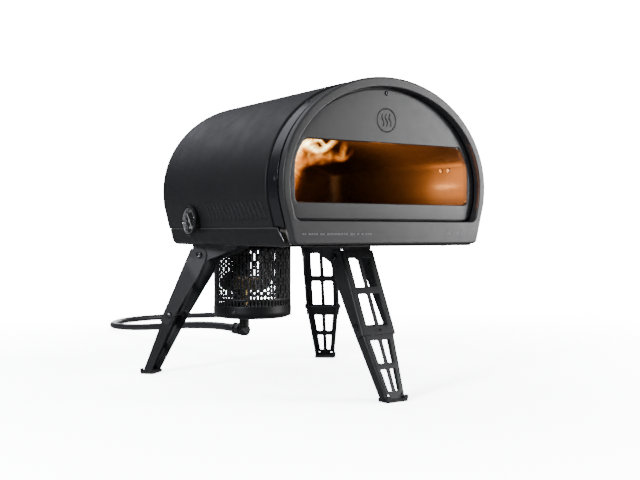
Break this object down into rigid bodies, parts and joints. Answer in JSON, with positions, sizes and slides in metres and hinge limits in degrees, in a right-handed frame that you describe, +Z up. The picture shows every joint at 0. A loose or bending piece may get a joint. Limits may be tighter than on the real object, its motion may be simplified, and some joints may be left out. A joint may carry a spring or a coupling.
{
  "type": "countertop pizza oven",
  "caption": "Gas pizza oven with an arched insulated barrel, stone floor, rear burner can and hose, on three folding legs.",
  "frame": {"origin": "centre of the oven's footprint, on the surface it stands on", "axes": "+Y from the mouth to the burner, +X to the right as seen from the mouth, +Z up"},
  "size_m": [0.6993, 1.3878, 0.473],
  "materials": {
    "satin_grey": "satin",
    "black_steel": "satin",
    "gloss_black": "gloss",
    "leg_steel": "satin",
    "silicone": "matte",
    "steel": "brushed",
    "brass": "satin",
    "insulation": "matte",
    "stone": "matte",
    "rubber": "matte",
    "dial_white": "matte",
    "dial_black": "matte",
    "clear_glass": "gloss",
    "ceramic": "satin",
    "screw_steel": "satin",
    "knob_plastic": "satin"
  },
  "bodies": {
    "oven": {"front_bezel": "satin_grey", "face_plate": "satin_grey", "face_plate_screw": "screw_steel", "front_seal": "rubber", "outer_shell": "black_steel", "trim_band": "gloss_black", "band_screw_1": "screw_steel", "band_screw_2": "screw_steel", "band_screw_3": "screw_steel", "band_screw_4": "screw_steel", "silicone_jacket": "silicone", "rear_panel": "black_steel", "base_tray": "black_steel", "oven_liner": "steel", "insulation_blanket": "insulation", "floor_insulation": "insulation", "stone_support": "steel", "stone_floor": "stone", "thermometer_case": "dial_black", "thermometer_dial": "dial_black", "thermometer_glass": "clear_glass", "burner_can": "black_steel", "can_base": "black_steel", "can_base_screw": "screw_steel", "can_lid": "black_steel", "burner_tube": "steel", "burner_head": "steel", "gas_valve": "brass", "gas_jet": "brass", "igniter_electrode": "ceramic", "gas_elbow": "black_steel", "hose_nut": "black_steel", "gas_hose": "rubber", "hose_ferrule": "brass", "regulator": "steel", "regulator_nut": "brass", "front_leg_bracket": "black_steel", "front_pivot_bolt_1": "screw_steel", "front_pivot_bolt_2": "screw_steel", "rear_left_leg_bracket": "black_steel", "rear_left_pivot_bolt_1": "screw_steel", "rear_left_pivot_bolt_2": "screw_steel", "rear_right_leg_bracket": "black_steel", "rear_right_pivot_bolt_1": "screw_steel", "rear_right_pivot_bolt_2": "screw_steel"},
    "front_leg": {"front_leg_upper": "leg_steel", "front_knee_pin": "screw_steel"},
    "front_shin": {"front_leg_lower": "leg_steel", "front_foot_pad": "rubber"},
    "rear_left_leg": {"rear_left_leg_upper": "leg_steel", "rear_left_knee_pin": "screw_steel"},
    "rear_left_shin": {"rear_left_leg_lower": "leg_steel", "rear_left_foot_pad": "rubber"},
    "rear_right_leg": {"rear_right_leg_upper": "leg_steel", "rear_right_knee_pin": "screw_steel"},
    "rear_right_shin": {"rear_right_leg_lower": "leg_steel", "rear_right_foot_pad": "rubber"},
    "gas_stem": {"valve_stem": "screw_steel"},
    "gas_knob": {"control_knob": "knob_plastic"},
    "needle": {"thermometer_needle": "dial_white"}
  },
  "joints": [
    {"name": "front_leg_fold", "type": "hinge", "parent": "oven", "child": "front_leg", "pos_m": [0, -0.142, 0.208], "axis": [1, 0, 0], "range_deg": [0, 115]},
    {"name": "front_knee_fold", "type": "hinge", "parent": "front_leg", "child": "front_shin", "pos_m": [0, -0.19855, 0.10472], "axis": [1, 0, 0], "range_deg": [0, 180]},
    {"name": "rear_left_leg_fold", "type": "hinge", "parent": "oven", "child": "rear_left_leg", "pos_m": [-0.1164, 0.1222, 0.208], "axis": [-0.7749, -0.632, 0], "range_deg": [0, 115]},
    {"name": "rear_left_knee_fold", "type": "hinge", "parent": "rear_left_leg", "child": "rear_left_shin", "pos_m": [-0.15214, 0.16602, 0.10472], "axis": [-0.7749, -0.632, 0], "range_deg": [0, 180]},
    {"name": "rear_right_leg_fold", "type": "hinge", "parent": "oven", "child": "rear_right_leg", "pos_m": [0.1164, 0.1222, 0.208], "axis": [-0.7749, 0.632, 0], "range_deg": [0, 115]},
    {"name": "rear_right_knee_fold", "type": "hinge", "parent": "rear_right_leg", "child": "rear_right_shin", "pos_m": [0.15214, 0.16602, 0.10472], "axis": [-0.7749, 0.632, 0], "range_deg": [0, 180]},
    {"name": "knob_push", "type": "slide", "parent": "oven", "child": "gas_stem", "axis": [0, -1, 0], "range_m": [0, 0.003], "stiffness_N_per_m": 1500},
    {"name": "knob_turn", "type": "hinge", "parent": "gas_stem", "child": "gas_knob", "pos_m": [0, 0.25, 0.152], "axis": [0, -1, 0], "range_deg": [0, 180]},
    {"name": "needle_turn", "type": "hinge", "parent": "oven", "child": "needle", "pos_m": [-0.181, 0.0465, 0.265], "axis": [-1, 0, 0], "range_deg": [-225, 45]}
  ]
}
